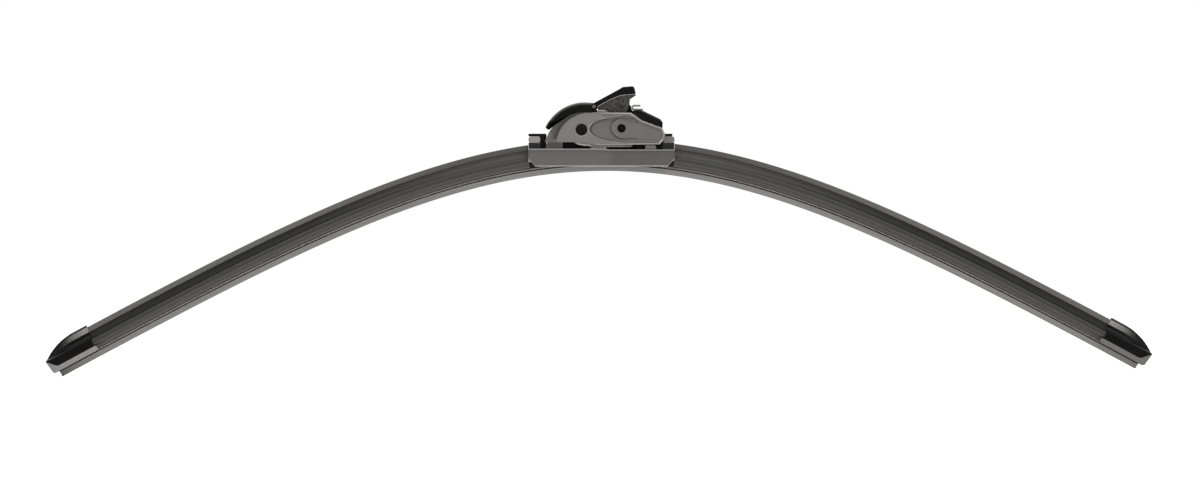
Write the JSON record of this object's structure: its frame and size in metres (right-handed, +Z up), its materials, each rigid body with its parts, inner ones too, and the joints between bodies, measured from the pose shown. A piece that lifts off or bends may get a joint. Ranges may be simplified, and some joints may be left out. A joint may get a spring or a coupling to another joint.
{
  "type": "windscreen wiper blade",
  "caption": "Frameless windscreen wiper blade: an arched rubber squeegee on spring rails under a spoiler, with end caps and a rocking adapter with a latch for hook and side pin arms.",
  "frame": {"origin": "centre of the large side pin bore of the adapter, at the middle of the blade's width", "axes": "+X along the blade towards the latch's catch, +Z up, away from the glass, -Y out of the front side plate, along the side pin bores; at rest the blade is neither pressed nor tilted"},
  "size_m": [0.6137, 0.0194, 0.1612],
  "materials": {
    "squeegee_rubber": "matt black rubber with a grey bloom on the lip",
    "spring_steel": "plain steel, satin",
    "pressed_steel": "plain steel, satin",
    "spoiler_rubber": "soft satin dark grey",
    "cap_plastic": "gloss black",
    "cover_plastic": "matt mid grey",
    "block_plastic": "matt black",
    "pin_steel": "ground steel",
    "adapter_plastic": "black with a fine texture",
    "plate_plastic": "satin light grey",
    "lever_plastic": "black with a fine texture",
    "catch_steel": "bright"
  },
  "bodies": {
    "adapter": {"adapter_body": "adapter_plastic", "side_plate_front": "plate_plastic", "side_plate_rear": "plate_plastic", "lever_pin": "pin_steel", "catch_hook": "catch_steel"},
    "blade": {"squeegee": "squeegee_rubber", "rail_front": "spring_steel", "rail_rear": "spring_steel", "end_clip_left": "pressed_steel", "end_clip_right": "pressed_steel", "spoiler_left": "spoiler_rubber", "spoiler_right": "spoiler_rubber", "end_cap_left": "cap_plastic", "end_cap_right": "cap_plastic", "rail_clamp": "pressed_steel", "saddle_cover": "cover_plastic", "pivot_block": "block_plastic", "pivot_pin": "pin_steel"},
    "lever": {"latch_lever": "lever_plastic"}
  },
  "joints": [
    {"name": "blade_rock", "type": "hinge", "parent": "adapter", "child": "blade", "pos_m": [0.0095, 0, -0.0055], "axis": [0, 1, 0], "range_deg": [-4, 4]},
    {"name": "lever_latch", "type": "hinge", "parent": "adapter", "child": "lever", "pos_m": [0.0069, 0, 0.0129], "axis": [0, 1, 0], "range_deg": [-30, 10]}
  ]
}
